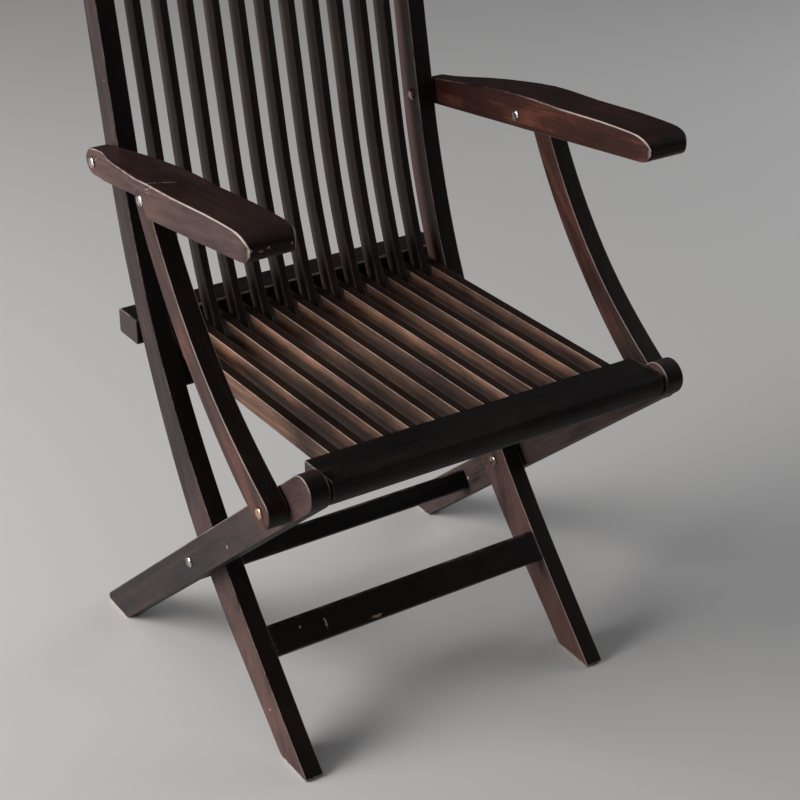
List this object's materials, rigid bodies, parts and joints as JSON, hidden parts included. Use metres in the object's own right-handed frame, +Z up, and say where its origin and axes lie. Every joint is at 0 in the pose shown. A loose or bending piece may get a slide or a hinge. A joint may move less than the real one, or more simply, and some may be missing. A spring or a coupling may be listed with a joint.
{
  "type": "folding armchair",
  "caption": "Folding slatted armchair in dark stained teak with curved uprights, swinging arm supports and a seat that slides up behind the back.",
  "frame": {"origin": "on the floor, under the middle of the open chair's bounding box", "axes": "+Z up, -Y the way the sitter faces, +X the sitter's left side (to the right in a view from the front)"},
  "size_m": [0.55, 0.5634, 0.9166],
  "materials": {
    "teak": "satin near-black brown stain",
    "teak_dark": "satin near-black brown stain",
    "teak_arm": "satin dark brown stain, worn a little paler",
    "steel": "bright zinc plating",
    "copper": "tarnished, coppery"
  },
  "bodies": {
    "back_frame": {"upright_left": "teak", "upright_right": "teak", "lower_back_rail": "teak_dark", "top_back_rail": "teak", "front_stretcher": "teak", "back_slat_01": "teak", "back_slat_02": "teak", "back_slat_03": "teak", "back_slat_04": "teak", "back_slat_05": "teak", "back_slat_06": "teak", "back_slat_07": "teak", "back_slat_08": "teak", "back_slat_09": "teak", "back_slat_10": "teak", "back_slat_11": "teak", "leg_pivot_nut_left": "steel", "leg_pivot_nut_right": "steel", "arm_pivot_nut_left": "steel", "arm_pivot_nut_right": "steel"},
    "rear_frame": {"rear_leg_left": "teak", "rear_leg_right": "teak", "rear_stretcher": "teak_dark", "leg_pivot_bolt_left": "steel", "leg_pivot_bolt_right": "steel", "leg_pivot_spacer_left": "steel", "leg_pivot_spacer_right": "steel"},
    "seat": {"seat_front_rail": "teak", "seat_rear_crossbar": "teak_dark", "seat_side_rail_left": "teak", "seat_side_rail_right": "teak", "seat_slat_01": "teak", "seat_slat_02": "teak", "seat_slat_03": "teak", "seat_slat_04": "teak", "seat_slat_05": "teak", "seat_slat_06": "teak", "seat_slat_07": "teak", "seat_slat_08": "teak", "seat_slat_09": "teak", "seat_slat_10": "teak", "seat_pivot_dowel_left": "teak", "seat_pivot_dowel_right": "teak"},
    "armrest_left": {"armrest_left": "teak_arm", "arm_pivot_bolt_left": "steel", "arm_pivot_spacer_left": "steel", "support_top_nut_left": "steel", "support_top_spacer_left": "steel"},
    "arm_support_left": {"arm_support_left": "teak", "support_top_bolt_left": "steel", "support_foot_bolt_left": "copper"},
    "armrest_right": {"armrest_right": "teak_arm", "arm_pivot_bolt_right": "steel", "arm_pivot_spacer_right": "steel", "support_top_nut_right": "steel", "support_top_spacer_right": "steel"},
    "arm_support_right": {"arm_support_right": "teak", "support_top_bolt_right": "steel", "support_foot_bolt_right": "copper"}
  },
  "joints": [
    {"name": "rear_frame_fold", "type": "hinge", "parent": "back_frame", "child": "rear_frame", "pos_m": [0, -0.00894, 0.19111], "axis": [-1, 0, 0], "range_deg": [0, 66]},
    {"name": "seat_fold", "type": "hinge", "parent": "rear_frame", "child": "seat", "pos_m": [0, -0.26121, 0.41666], "axis": [1, 0, 0], "range_deg": [0, 126.72]},
    {"name": "armrest_left_fold", "type": "hinge", "parent": "back_frame", "child": "armrest_left", "pos_m": [-0.23, 0.19422, 0.614], "axis": [-1, 0, 0], "range_deg": [0, 85.91]},
    {"name": "arm_support_left_fold", "type": "hinge", "parent": "armrest_left", "child": "arm_support_left", "pos_m": [-0.2575, 0.01672, 0.639], "axis": [1, 0, 0], "range_deg": [0, 107.9]},
    {"name": "armrest_right_fold", "type": "hinge", "parent": "back_frame", "child": "armrest_right", "pos_m": [0.23, 0.19422, 0.614], "axis": [-1, 0, 0], "range_deg": [0, 85.91]},
    {"name": "arm_support_right_fold", "type": "hinge", "parent": "armrest_right", "child": "arm_support_right", "pos_m": [0.2575, 0.01672, 0.639], "axis": [1, 0, 0], "range_deg": [0, 107.9]}
  ],
  "couplings": [
    {"joint": "seat_fold", "follows": "rear_frame_fold", "ratio": 1.92},
    {"joint": "armrest_left_fold", "follows": "rear_frame_fold", "ratio": 1.3016},
    {"joint": "arm_support_left_fold", "follows": "rear_frame_fold", "ratio": 1.6348},
    {"joint": "armrest_right_fold", "follows": "rear_frame_fold", "ratio": 1.3016},
    {"joint": "arm_support_right_fold", "follows": "rear_frame_fold", "ratio": 1.6348}
  ]
}
